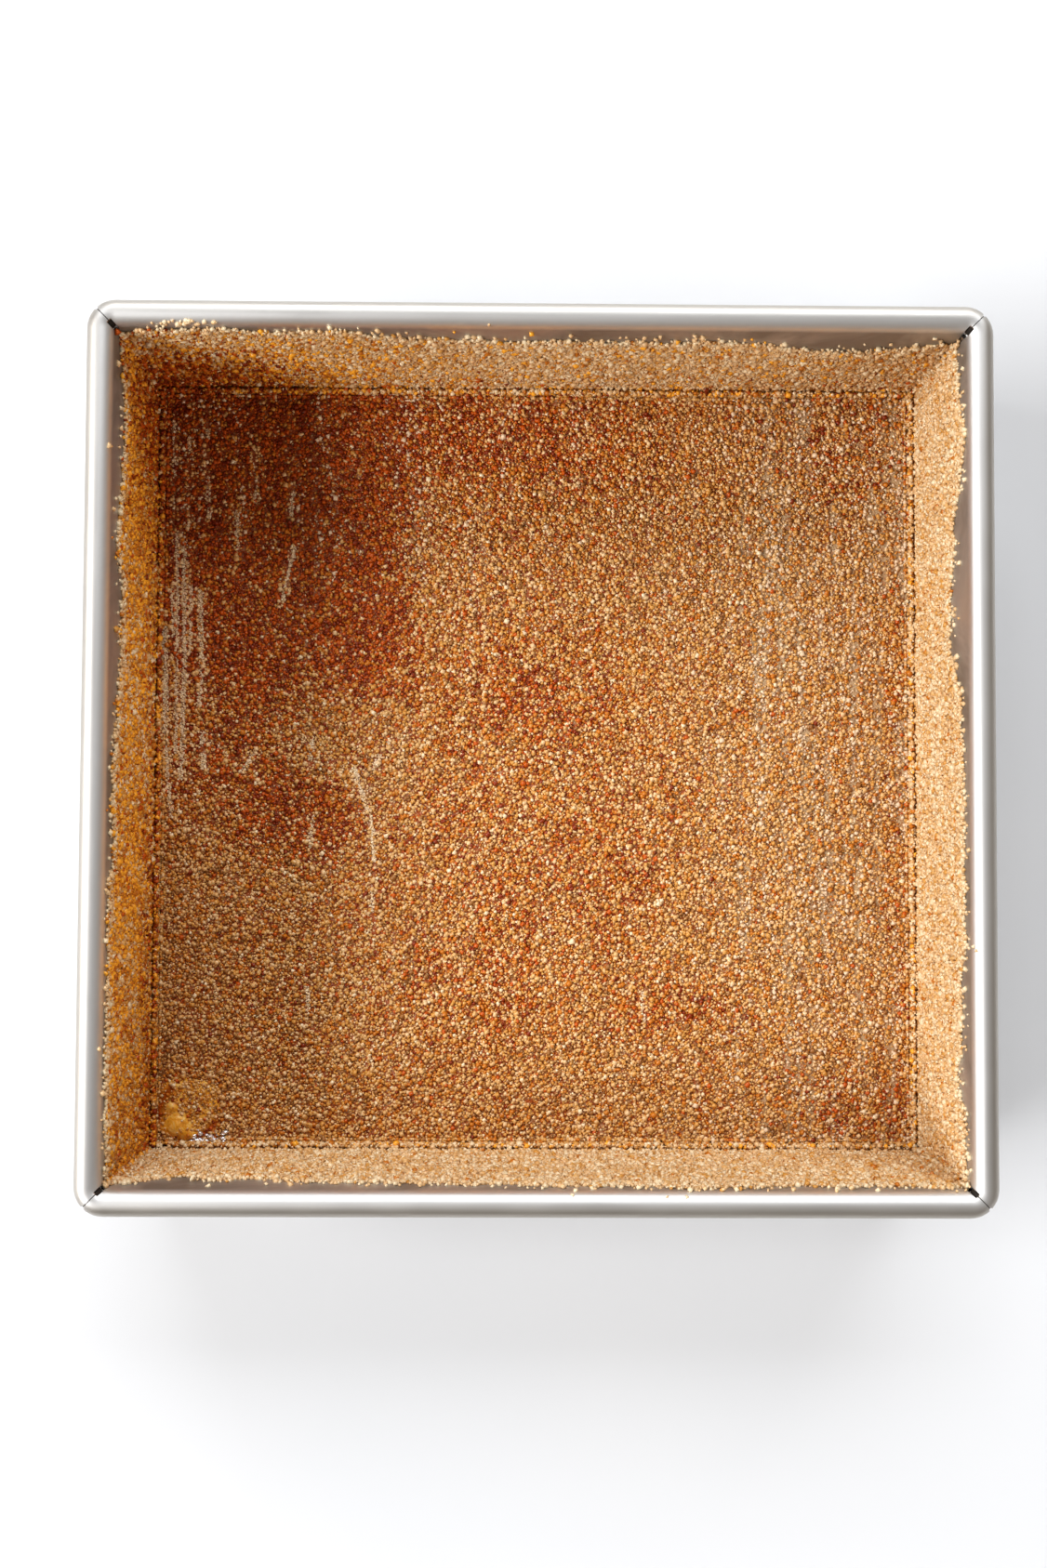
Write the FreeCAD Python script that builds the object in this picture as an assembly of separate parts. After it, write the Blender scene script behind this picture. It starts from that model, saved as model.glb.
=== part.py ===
"""Square loose-base cake pan, 8 x 8 x 2 inch, lined with butter and brown sugar.

The pan is four aluminium side panels and a loose base plate. Each panel is one strip of sheet: a ledge turned
in along its foot, a flat wall, and a rim curled outwards over a straight steel wire. The panels meet at the
four corners in an open mitre, a little wider at the wall's top, and are welded on the outside. The base plate
lies on the ledges and lifts out through the top. A grain-thick coat of butter and brown sugar covers the base
and the walls.

Frame: origin at the middle of the pan's foot, X to the right, Y to the back, Z up. Millimetres.
"""

import math
import os

import FreeCAD
import Part

Vec = FreeCAD.Vector

# Driving dimensions, mm
INSIDE = 203.2  # inside width and depth between the walls, 8 in
DEPTH = 50.8  # from the top of the base plate to the top of the rim, 2 in
SHEET = 1.0  # thickness of the panels' sheet
BASE_THICK = 1.2  # thickness of the base plate
RIM_RADIUS = 3.2  # outer radius of the curled rim
CURL_END_ANGLE = -132.0  # where the curl stops, just short of the wall's outer face
CORNER_RADIUS = 0.6  # inside radius where two walls meet
SEAM_GAP = 0.2  # open width of the mitre between two panels
NICK_GAP = 1.0  # the mitre opens to this width at the rim's outermost corner
NICK_DEPTH = 1.1  # over this length
MOUTH_GAP = 1.3  # width of the seam's mouth where wall and rim meet
MOUTH_REACH = 2.0  # how far the mouth reaches outwards from the corner's axis
MOUTH_TAPER = 10.0  # the mouth narrows to the plain seam this far down the wall
MOUTH_FLOOR = 1.5  # inside the curl the mouth goes down this far below the curl's middle
LEDGE = 7.0  # how far the ledge reaches in from the wall
BEND_INSIDE = 1.0  # inside radius of the bend between wall and ledge
BASE_GAP = 1.1  # clearance between the base plate's edge and each wall
BASE_CORNER_RADIUS = 2.0
BASE_EDGE_SOFT = 0.25  # rounding of the base plate's upper and lower edges
WIRE_RADIUS = 2.0  # steel wire inside the curl
WELD_RADIUS = 0.9  # bead along the outside of each corner
WELD_CLEAR = 1.5  # the bead starts this far above the bend
WELD_TOP_CLEAR = 0.2  # it stops this far below the curl's edge
WELD_ROOT = 0.5  # how deep the weld fills the seam, from the outside
COAT = 0.75  # thickness of the sugar coat on the walls
COAT_BASE = 0.8  # thickness of the sugar coat on the base plate
COAT_BASE_INSET = 0.05  # the coat stops this far inside the base plate's edge
COAT_FOOT = 0.1  # the wall coats start this far above the base plate's top
COAT_TOP_BELOW_RIM = 7.2  # mean height of bare wall between coat and rim's top
COAT_END_GAP = 0.02  # between two coats in a corner
CLUMP_SIZE = (16.0, 16.0, 1.4)  # smear of butter and sugar in the front left corner
CLUMP_FROM_CORNER = (9.4, 9.4)  # its middle, from the inside faces of the left and front walls

# Worked out from them
HALF = INSIDE / 2
BASE_TOP = SHEET + BASE_THICK
HEIGHT = BASE_TOP + DEPTH
CURL_Z = HEIGHT - RIM_RADIUS
BEND_OUTSIDE = BEND_INSIDE + SHEET
COAT_TOP = HEIGHT - COAT_TOP_BELOW_RIM
SIDES = {"back": 0, "left": 90, "front": 180, "right": 270}  # degrees about Z from the back
CORNERS = {"back_left": 0, "front_left": 90, "front_right": 180, "back_right": 270}


def side_point(out, z, x=0.0):
    """A point of the back panel: out is measured outwards from the wall's inner face."""
    return Vec(x, HALF + out, z)


def curl_point(radius, degrees, x):
    """A point at an angle round the curl's middle, 180 degrees being on the wall's side."""
    a = math.radians(degrees)
    return side_point(RIM_RADIUS + radius * math.cos(a), CURL_Z + radius * math.sin(a), x)


def line(a, b):
    return Part.LineSegment(a, b).toShape()


def arc(a, middle, b):
    return Part.Arc(a, middle, b).toShape()


def face_of(edges):
    return Part.Face(Part.Wire(edges))


def wall_section(x):
    """The wall and its curled rim, above the bend."""
    inner = RIM_RADIUS - SHEET
    halfway = (180.0 + CURL_END_ANGLE) / 2
    foot_in, foot_out = side_point(0, BEND_OUTSIDE, x), side_point(SHEET, BEND_OUTSIDE, x)
    return face_of([
        line(foot_out, curl_point(inner, 180, x)),
        arc(curl_point(inner, 180, x), curl_point(inner, halfway, x), curl_point(inner, CURL_END_ANGLE, x)),
        line(curl_point(inner, CURL_END_ANGLE, x), curl_point(RIM_RADIUS, CURL_END_ANGLE, x)),
        arc(curl_point(RIM_RADIUS, CURL_END_ANGLE, x), curl_point(RIM_RADIUS, halfway, x),
            curl_point(RIM_RADIUS, 180, x)),
        line(curl_point(RIM_RADIUS, 180, x), foot_in),
        line(foot_in, foot_out),
    ])


def ledge_section(x):
    """The ledge and the bend that joins it to the wall."""
    bend = side_point(-BEND_INSIDE, BEND_OUTSIDE, x)
    slant = math.sqrt(0.5)
    outside = side_point(-BEND_INSIDE + BEND_OUTSIDE * slant, BEND_OUTSIDE * (1 - slant), x)
    inside = side_point(-BEND_INSIDE + BEND_INSIDE * slant, bend.z - BEND_INSIDE * slant, x)
    return face_of([
        line(side_point(-LEDGE, 0, x), side_point(-BEND_INSIDE, 0, x)),
        arc(side_point(-BEND_INSIDE, 0, x), outside, side_point(SHEET, BEND_OUTSIDE, x)),
        line(side_point(SHEET, BEND_OUTSIDE, x), side_point(0, BEND_OUTSIDE, x)),
        arc(side_point(0, BEND_OUTSIDE, x), inside, side_point(-BEND_INSIDE, SHEET, x)),
        line(side_point(-BEND_INSIDE, SHEET, x), side_point(-LEDGE, SHEET, x)),
        line(side_point(-LEDGE, SHEET, x), side_point(-LEDGE, 0, x)),
    ])


def rounded_square(half, radius, low, high):
    """A vertical prism, square with rounded corners, centred on the origin."""
    box = Part.makeBox(2 * half, 2 * half, high - low, Vec(-half, -half, low))
    upright = [e for e in box.Edges if abs(e.Vertexes[0].Z - e.Vertexes[1].Z) > (high - low) / 2]
    return box.makeFillet(radius, upright)


def turned(shape, degrees):
    copy = shape.copy()
    copy.rotate(Vec(0, 0, 0), Vec(0, 0, 1), degrees)
    return copy


def mitre_wedge():
    """All that lies on the back panel's side of both diagonals, less half the seam and half of each nick."""
    reach = HALF + 4 * RIM_RADIUS
    outermost = HALF - CORNER_RADIUS + (CORNER_RADIUS + 2 * RIM_RADIUS) * math.sqrt(0.5)
    seam, nick = SEAM_GAP / 2 * math.sqrt(2), NICK_GAP / 2 * math.sqrt(2)
    edge = [(outermost - NICK_DEPTH * math.sqrt(0.5), seam), (outermost, nick), (reach, nick)]
    corners = [Vec(0, seam, -1)]
    corners += [Vec(y - gap, y, -1) for y, gap in edge]
    corners += [Vec(gap - y, y, -1) for y, gap in reversed(edge)]
    corners.append(corners[0])
    return Part.Face(Part.makePolygon(corners)).extrude(Vec(0, 0, HEIGHT + 2))


def seam_mouth():
    """The wide top of the back left corner's seam, tapering to nothing down the wall.

    It goes through the wall and the curl's upper part, and leaves the curl's lower part whole.
    """
    half = MOUTH_GAP / 2
    low, high = CURL_Z - MOUTH_TAPER, HEIGHT + 1
    section = [(0, low), (half, CURL_Z), (half, high), (-half, high), (-half, CURL_Z), (0, low)]
    mouth = Part.Face(Part.makePolygon([Vec(0, y, z) for y, z in section])).extrude(Vec(MOUTH_REACH, 0, 0))
    through_wall = Part.makeCylinder(CORNER_RADIUS + SHEET, high)
    curl_floor = CURL_Z - MOUTH_FLOOR
    into_curl = Part.makeCylinder(MOUTH_REACH, high - curl_floor, Vec(0, 0, curl_floor))
    mouth = mouth.common(through_wall.fuse(into_curl))
    mouth.rotate(Vec(0, 0, 0), Vec(0, 0, 1), 135)
    mouth.translate(Vec(-HALF + CORNER_RADIUS, HALF - CORNER_RADIUS, 0))
    return mouth


def side_panel():
    """The back panel: ledge, wall and curled rim in one piece."""
    straight = HALF - CORNER_RADIUS
    wall = wall_section(-straight).extrude(Vec(2 * straight, 0, 0))
    left_end = wall_section(-straight).revolve(Vec(-straight, straight, 0), Vec(0, 0, 1), 45)
    right_end = wall_section(straight).revolve(Vec(straight, straight, 0), Vec(0, 0, 1), -45)
    outside = HALF + SHEET
    ledge = ledge_section(-outside).extrude(Vec(2 * outside, 0, 0))
    ledge = ledge.common(rounded_square(outside, CORNER_RADIUS + SHEET, -1, BEND_OUTSIDE + 1))
    panel = wall.fuse([left_end, right_end, ledge]).removeSplitter()
    return panel.common(mitre_wedge()).cut([seam_mouth(), turned(seam_mouth(), -90)])


def corner_weld(panels):
    """The bead along the outside of the back left corner, filling the seam's outer part."""
    to_outside = CORNER_RADIUS + SHEET
    diagonal = Vec(-1, 1, 0).normalize()
    axis = Vec(-HALF + CORNER_RADIUS, HALF - CORNER_RADIUS, 0)
    low = BEND_OUTSIDE + WELD_CLEAR
    high = curl_point(RIM_RADIUS, CURL_END_ANGLE, 0).z - WELD_TOP_CLEAR
    bead_at = axis + diagonal * to_outside
    bead = Part.makeCylinder(WELD_RADIUS, high - low, Vec(bead_at.x, bead_at.y, low))
    root = Part.makeBox(to_outside + WELD_RADIUS, 4 * WELD_RADIUS, high - low,
                        Vec(to_outside - WELD_ROOT, -2 * WELD_RADIUS, low))
    root.rotate(Vec(0, 0, 0), Vec(0, 0, 1), 135)
    root.translate(axis)
    return bead.common(root).cut(panels[0]).cut(panels[1])


def rim_wire():
    """The straight wire inside the back panel's curl."""
    length = 2 * (HALF - CORNER_RADIUS)
    return Part.makeCylinder(WIRE_RADIUS, length, curl_point(0, 0, -length / 2), Vec(1, 0, 0))


def base_plate():
    plate = rounded_square(HALF - BASE_GAP, BASE_CORNER_RADIUS, SHEET, BASE_TOP)
    rims = [e for e in plate.Edges if abs(e.Vertexes[0].Z - e.Vertexes[-1].Z) < 1e-6]
    return plate.makeFillet(BASE_EDGE_SOFT, rims)


def base_coat():
    half = HALF - BASE_GAP - COAT_BASE_INSET - BASE_EDGE_SOFT
    return rounded_square(half, BASE_CORNER_RADIUS, BASE_TOP, BASE_TOP + COAT_BASE)


def wall_coat(half_length):
    """A coat on the back wall."""
    foot = BASE_TOP + COAT_FOOT
    return Part.makeBox(2 * half_length, COAT, COAT_TOP - foot, Vec(-half_length, HALF - COAT, foot))


def clump():
    """A low dome of butter and sugar on the base coat, in the front left corner."""
    length, width, height = CLUMP_SIZE
    dome_radius = (length * length / 4 + height * height) / (2 * height)
    top = BASE_TOP + COAT_BASE
    ball = Part.makeSphere(dome_radius, Vec(0, 0, height - dome_radius))
    above = Part.makeBox(2 * length, 2 * length, 2 * height, Vec(-length, -length, 0))
    squeeze = FreeCAD.Matrix()
    squeeze.scale(1, width / length, 1)
    dome = ball.common(above).transformGeometry(squeeze)
    dome.translate(Vec(-HALF + CLUMP_FROM_CORNER[0], -HALF + CLUMP_FROM_CORNER[1], top))
    return dome


def build():
    panel, wire = side_panel(), rim_wire()
    weld = corner_weld([panel, turned(panel, 90)])
    coats = {0: wall_coat(HALF - CORNER_RADIUS - COAT_END_GAP), 90: wall_coat(HALF - COAT - COAT_END_GAP)}
    nodes = {"loose_base": base_plate(), "sugar_coat_base": base_coat(), "butter_clump": clump()}
    for side, degrees in SIDES.items():
        nodes[f"side_panel_{side}"] = turned(panel, degrees)
        nodes[f"rim_wire_{side}"] = turned(wire, degrees)
        nodes[f"sugar_coat_{side}"] = turned(coats[degrees % 180], degrees)
    for corner, degrees in CORNERS.items():
        nodes[f"corner_weld_{corner}"] = turned(weld, degrees)
    return nodes


def main():
    os.makedirs("parts", exist_ok=True)
    for name, shape in build().items():
        solids = shape.Solids
        assert solids and all(s.isValid() for s in solids), name
        shape = solids[0] if len(solids) == 1 else Part.makeCompound(solids)
        shape.exportStep(f"parts/{name}.step")
        print(f"{name}: {len(solids)} solid, {shape.Volume:.1f} mm3")


main()
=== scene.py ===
"""Looks of the square loose-base cake pan: satin aluminium, lined with butter and brown sugar crystals.

Lengths are in metres, in the CAD model's frame: X to the right, Y to the back, Z up. The sugar coats, the
smear of butter and the weld beads replace their plain CAD solids. Other metal parts are the CAD nodes.
"""

import math

import bpy
import numpy as np
from mathutils import Matrix, Vector
from numpy.random import default_rng


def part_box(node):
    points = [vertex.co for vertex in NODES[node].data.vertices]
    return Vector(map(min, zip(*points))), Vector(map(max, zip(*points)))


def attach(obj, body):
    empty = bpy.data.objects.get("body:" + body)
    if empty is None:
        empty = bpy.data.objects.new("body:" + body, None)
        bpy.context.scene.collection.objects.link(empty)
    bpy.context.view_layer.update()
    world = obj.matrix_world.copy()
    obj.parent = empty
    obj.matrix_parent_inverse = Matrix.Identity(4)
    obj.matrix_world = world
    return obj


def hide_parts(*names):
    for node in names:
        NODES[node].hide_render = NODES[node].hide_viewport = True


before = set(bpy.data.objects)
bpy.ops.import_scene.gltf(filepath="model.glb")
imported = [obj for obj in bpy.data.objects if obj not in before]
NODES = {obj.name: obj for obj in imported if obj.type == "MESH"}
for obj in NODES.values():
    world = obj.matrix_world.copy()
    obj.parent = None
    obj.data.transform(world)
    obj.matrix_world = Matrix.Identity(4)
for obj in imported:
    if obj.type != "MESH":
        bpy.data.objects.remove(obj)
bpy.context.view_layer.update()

MM = 0.001

# ---- Sizes read from the CAD model ----
PLATE_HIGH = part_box("loose_base")[1]
COAT_LOW, COAT_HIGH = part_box("sugar_coat_right")
PANEL_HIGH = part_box("side_panel_right")[1]
CLUMP_LOW, CLUMP_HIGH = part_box("butter_clump")
WALL = COAT_HIGH.x  # from the middle to each wall's inner face
COAT_FOOT = COAT_LOW.z
RIM_TOP = PANEL_HIGH.z
RIM_RADIUS = (PANEL_HIGH.x - WALL) / 2
CURL_Z = RIM_TOP - RIM_RADIUS
CORNER_INSIDE, CORNER_OUTSIDE = 0.6 * MM, 1.6 * MM  # radii of the walls' corner, inside and outside
CORNER_AXIS = WALL - CORNER_INSIDE
NICK_FROM = 5.9 * MM  # from the corner's axis outwards, the rim's mitre opens into a nick
MOUTH_ANGLES = (104, 118)  # degrees round the curl from its outside, where the seam opens into its mouth
WEB_ANGLES = (-128, 184)  # from where to where, in the same degrees, a dark web closes the seam: its near-black colour is painted shade
WEB_DEPTHS = (0.92 * MM, 0.38 * MM)  # how far inside the curl's outer face the web's two faces lie
SMEAR_HALF = (CLUMP_HIGH - CLUMP_LOW) * 1.1 / 2  # a tenth wider than the CAD dome
SMEAR_MIDDLE = CLUMP_LOW + SMEAR_HALF
SQUARENESS = 2.7  # of the smear: 2 would make its outline an ellipse

# ---- The sugar coat ----
# Mean distances between crystals: on the base, on the walls, and in the brush streaks
GRAIN_BASE, GRAIN_WALL, GRAIN_DUST = 0.70 * MM, 0.80 * MM, 0.36 * MM
GRAIN_JITTER = 0.28  # how far a crystal strays from its place, as a share of that distance
FLOOR_REACH = PLATE_HIGH.x - 0.35 * MM  # crystals on the base have their middles inside this
BORDER_ROWS = ((-0.2, 0.0), (0.3, 0.45), (1.0, 0.35), (0.1, 0.95))  # more along its edge: (inward, lift), mm
BORDER_PITCH = 0.55 * MM
EDGE_SIZE, EDGE_LIFT = 0.72 * MM, 0.3 * MM  # the largest crystals there, and how high they lie
SMEAR_BARE = 0.94  # the base has no crystals within this share of the smear's outline
LUMP_SHARE, LUMP_SCALE = 0.002, 1.35  # a few crystals on the base are larger
WALL_REACH = WALL - 0.25 * MM  # crystals on the walls have their middles inside this
ROW_REACH = WALL_REACH - 1.2 * MM  # and the extra rows at the walls' foot end here
FOOT_BAND = 1.6 * MM  # this near to their foot, the walls' crystals stand clear of the base
FOOT_SIZE, FOOT_LIFT = 0.68 * MM, 0.40 * MM  # their largest size, and how far they stand off the wall
GAP_PITCH, GAP_HEIGHTS = 0.42 * MM, (0.4, 1.3)  # the row in front of them, over the gap around the base; mm
GAP_SIZE, GAP_LIFTS = 0.60 * MM, (0.66, 0.80)  # lifts in mm
FILLET_BAND, FILLET_LIFTS = 5.0 * MM, (0.6, 1.45)  # up to here they pile up over that gap; lifts in mm
HEAP_PITCH, HEAP_HEIGHTS = 0.35 * MM, (0.1, 0.7)  # the row at the bottom of the pile; mm
CORNER_PITCH, CORNER_LIFTS = 0.45 * MM, (0.1, 0.6)  # crystals that round off the upright corners; mm
COVERED, STRAYS = 0.985, 0.42  # how many places are taken below the coat's edge, and just above it
STRAY_FADE, STRAY_REACH = 1.7 * MM, 6.0 * MM  # crystals thin out over this height, and end at this one
FILM, FOOT_FILM = 0.05 * MM, 0.45 * MM  # the butter film's least thickness, and how much more at a foot
FILM_STEP = 1.0 * MM  # between the points of its grid
BAND_PITCH = 6.2 * MM  # between brush strokes on the base

# The coat's upper edge on each wall, in mm: (place along the wall, height above the table)
EDGES = {
    "back": [(-101, 47), (-90, 49), (-77, 50), (-65, 47), (-55, 49), (-45, 49), (-40, 45), (-30, 43),
             (-18, 43.5), (-5, 42), (15, 42), (40, 43), (55, 40.5), (70, 36.5), (83, 36.5), (91, 41),
             (101, 43.5)],
    "left": [(-101, 47), (-90, 49.5), (-63, 49), (-41, 49), (-20, 45.5), (-4, 46), (5, 44), (22, 40),
             (34, 39.5), (44, 40), (50, 45.5), (69, 41), (77, 40), (92, 41), (101, 46)],
    "front": [(-101, 46), (-96, 43), (-90, 40), (-84, 37), (-77, 42), (-70, 39.5), (-55, 42), (-39, 43.5),
              (5, 45.5), (27, 47.5), (40, 49), (60, 46), (82, 46), (90, 47.5), (101, 47)],
    "right": [(-101, 48), (-91, 46), (-83, 44), (-80, 39), (-67, 44), (-54, 43.5), (-44, 48.5), (-40, 46),
              (-18, 46.5), (-1, 45.5), (16, 44.5), (22, 40), (29, 36), (44, 36.5), (50, 39), (59, 40),
              (68, 46.5), (79, 48), (91, 44), (101, 41)],
}

# Brush streaks on the base, where only fine pale grains stick, in mm: (path, width, how full)
STREAKS = [
    ([(-99.5, 36), (-99, 22), (-99, 8)], 1.5, 1.0),
    ([(-98.5, 6), (-98, -4), (-97, -14)], 1.2, 0.6),
    ([(-98, 47), (-97, 40), (-97, 34)], 1.0, 0.5),
    ([(-96.5, 62), (-96, 44), (-96, 24), (-96, 3)], 0.9, 0.8),
    ([(-97.5, 92), (-97, 68)], 0.9, 0.3),
    ([(-94.5, 58), (-94, 24), (-94.5, -4)], 1.2, 0.9),
    ([(-93.5, 88), (-93, 64)], 0.9, 0.3),
    ([(-92.5, 48), (-92.5, 30)], 0.8, 0.6),
    ([(-90, 46), (-89.5, 30), (-90, 16)], 1.3, 0.5),
    ([(-89, 96), (-88.5, 84), (-88, 66)], 1.0, 0.3),
    ([(-89, 8), (-88.5, -1)], 1.3, 0.55),
    ([(-80.5, 68), (-80, 58)], 1.1, 0.3),
    ([(-76, 84), (-75.5, 70)], 1.0, 0.25),
    ([(-48.5, -1), (-46, -9)], 1.3, 0.75),
    ([(-45, -11), (-43.5, -18), (-43, -27)], 1.2, 0.7),
    ([(-43, -29), (-43.5, -37), (-42.5, -45)], 0.9, 0.5),
    ([(-39.5, 6), (-41.5, 3), (-43.5, -1)], 1.1, 0.6),
    ([(-65, 58), (-66.5, 51), (-68, 44)], 1.1, 0.8),
    ([(-65, 75), (-66, 67)], 1.1, 0.5),
    ([(-59.5, 7), (-60.5, 0)], 1.1, 0.55),
    ([(28.5, -60), (29, -68)], 1.0, 0.5),
    ([(-60.5, -59), (-60, -65)], 0.9, 0.5),
    ([(-78.5, -2), (-75.5, 2)], 1.3, 0.55),
    ([(-59.5, -14), (-60, -22)], 1.0, 0.4),
]

# Damper and darker patches on the base, in mm: (x, y, reach along x, reach along y, strength). Those in the
# back left corner, along the back and at the walls' feet are partly painted shade, where the walls' shadows
# fall.
DAMP_AND_SHADE_PATCHES = [
    (-82, 78, 54, 50, 1.0), (-66, 50, 36, 42, 0.6), (-64, -14, 20, 16, 0.55), (-78, -58, 36, 24, 0.12),
    (-44, 34, 18, 22, 0.4), (0, 84, 120, 36, 0.32), (6, 16, 24, 16, 0.2), (40, -66, 26, 13, 0.3),
    (84, -90, 34, 16, 0.32), (-20, -60, 24, 18, 0.2), (-30, -10, 95, 120, 0.3), (88, 84, 26, 30, 0.30),
    (97, -20, 6, 90, 0.35), (10, 5, 60, 60, 0.16), (-86, 20, 24, 48, 0.45), (-45, 94, 70, 22, 0.35),
]

# These values also stand in for light: the front and right walls, which the windows light, get pale dry
# crystals, and the shaded left wall bright gold ones: painted light and shade.
WALL_DAMP_AND_PAINTED_LIGHT = {"back": 0.18, "left": 1.0, "front": 0.0, "right": 0.0}  # how damp each wall's sugar is, 0 to 1, partly painted light and shade

# Crystals that fell on the rims, in mm: (side, place along it, distance out from the wall, size)
RIM_CRUMBS = [
    ("front", 34.5, 1.2, 0.8), ("left", 72.5, 0.7, 1.6), ("right", -44.5, 0.3, 0.9),
    ("right", -45.5, 0.8, 0.7), ("left", -69, 0.5, 0.8), ("front", 8, 0.7, 0.8),
    ("back", -12.5, 0.6, 0.7), ("front", 30, 1.0, 0.7),
]
CRUMB_HEAP_AT, CRUMB_HEAP_COUNT = -86.0, 26  # a scatter on the back rim: its middle, and how many crystals

# At its left end the front wall's sugar has parted from the base: to where along the wall in mm, how much of
# that is ragged, how high, and how many crystals are left there
PARTED_TO, PARTED_RAGGED, PARTED_HEIGHT, PARTED_SHARE = -90.0, 8, 3.4 * MM, 0.15

# The smear, in mm: folds as (path, width), lumps as (x, y, reach, height), and beads of clear butter
SMEAR_FOLDS = [
    ([(-96.0, -86.0), (-98.0, -88.5), (-99.3, -92.0), (-99.3, -94.5)], 2.0),
    ([(-88.5, -98.8), (-86.0, -97.0), (-83.5, -94.5)], 1.9),
]
SMEAR_LUMPS = [(-97.6, -84.8, 2.9, 1.3), (-98.5, -97.3, 2.5, 1.3), (-94.2, -95.8, 3.2, 1.5),
               (-95.6, -91.0, 1.8, 1.0), (-91.0, -98.2, 2.0, 1.1)]
GLAZE_FROM, GLAZE_TO, GLAZE_BEADS = (-90.5, -100.0), (-81.5, -96.5), 40

# Crystals: name, linear colour, roughness, and the shares on the base and on the walls, each dry and damp;
# the damp shares also give the painted shade
CRYSTALS = [
    ("clear", (0.88, 0.70, 0.46), 0.16, 0.03, 0.01, 0.32, 0.0),
    ("pale", (0.80, 0.54, 0.29), 0.24, 0.16, 0.04, 0.38, 0.02),
    ("sand", (0.72, 0.43, 0.175), 0.28, 0.30, 0.04, 0.20, 0.06),
    ("tan", (0.66, 0.33, 0.080), 0.30, 0.26, 0.07, 0.08, 0.12),
    ("amber", (0.58, 0.195, 0.017), 0.28, 0.13, 0.17, 0.02, 0.24),
    ("caramel", (0.56, 0.110, 0.006), 0.28, 0.01, 0.35, 0.0, 0.08),
    ("brown", (0.26, 0.035, 0.003), 0.30, 0.0, 0.32, 0.0, 0.0),
    # Gold: bright and saturated, for the left wall where little light falls: painted light.
    ("gold", (0.96, 0.45, 0.045), 0.26, 0.0, 0.0, 0.0, 0.52),
    ("umber", (0.36, 0.155, 0.042), 0.30, 0.13, 0.0, 0.0, 0.0),
    ("dust", (0.80, 0.60, 0.41), 0.35, 0.0, 0.0, 0.0, 0.0),
]
ON_BASE, ON_WALL = (3, 4), (5, 6)  # where each crystal's dry and damp shares stand in its row
PALEST, PALE = [0, 1], [1, 2]  # clear and pale, and pale and sand
DARKEST = [5, 6]  # caramel and brown, only where damp and painted shade run high
DUST = len(CRYSTALS) - 1

# ---- The camera and the light ----
CAMERA_AT = (-7.6 * MM, -20.6 * MM, 410.1 * MM)
CAMERA_TILT = (2.20, -0.61, 0.28)  # degrees, as a rotation vector, from looking straight down with +Y up
CAMERA_LENS = 35.08  # mm, on a sensor 36 mm along the picture's long side
KEY_POWER, BACK_POWER, FILL_POWER = 45.0, 42.0, 8.0  # watts
LIGHTS_AIM = (0, 0, 0.02)
TABLE_HALF, TABLE_Z = 3.0, -0.0001  # half the table's width, and its top, just below the pan's foot
ROOM_WALLS, ROOM_CEILING = (0.27, 0.24, 0.21), (0.30, 0.29, 0.28)


# ---- Small helpers ----
def smooth_noise(x, y, size, seed):
    """Smooth noise from 0 to 1 at points x, y, with features of that size."""
    side = 128
    values = default_rng(seed).random((side, side))
    gx, gy = np.asarray(x) / size + 7.3, np.asarray(y) / size + 3.1
    ix, iy = np.floor(gx).astype(int), np.floor(gy).astype(int)
    fx, fy = rise(0, 1, gx - ix), rise(0, 1, gy - iy)
    near, far = (values[ix % side, k % side] * (1 - fx) + values[(ix + 1) % side, k % side] * fx
                 for k in (iy, iy + 1))
    return near * (1 - fy) + far * fy


def layered_noise(x, y, size, seed):
    """Noise from 0 to 1 with two finer and weaker layers added."""
    total = sum(smooth_noise(x, y, size / 2**k, seed + k) / 2**k for k in range(3))
    return total / (1 + 1 / 2 + 1 / 4)


def rise(low, high, x):
    """A smooth rise from 0 at low to 1 at high."""
    t = np.clip((np.asarray(x) - low) / (high - low), 0, 1)
    return t * t * (3 - 2 * t)


def fade(low, high, x):
    """A smooth fall from 1 at low to 0 at high."""
    return 1 - rise(low, high, x)


def full_turn(sectors):
    """Angles once around, as one row."""
    return np.linspace(0, 2 * math.pi, sectors, endpoint=False)[None]


def grid_faces(index, closed=False):
    """Four-sided faces over a grid of point numbers, closed round where its rows are rings."""
    if closed:
        index = np.hstack([index, index[:, :1]])
    return np.stack([index[:-1, :-1], index[:-1, 1:], index[1:, 1:], index[1:, :-1]], axis=-1).reshape(-1, 4)


def cap_faces(ring, tip, under=False):
    """Three-sided faces from a ring of points to its tip, turned over where they close an underside."""
    first, second = ring, np.roll(ring, -1)
    if under:
        first, second = second, first
    return np.stack([first, second, np.full(len(ring), tip)], axis=-1)


def add_object(name, data):
    """A new object in the scene."""
    obj = bpy.data.objects.new(name, data)
    bpy.context.scene.collection.objects.link(obj)
    return obj


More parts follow.
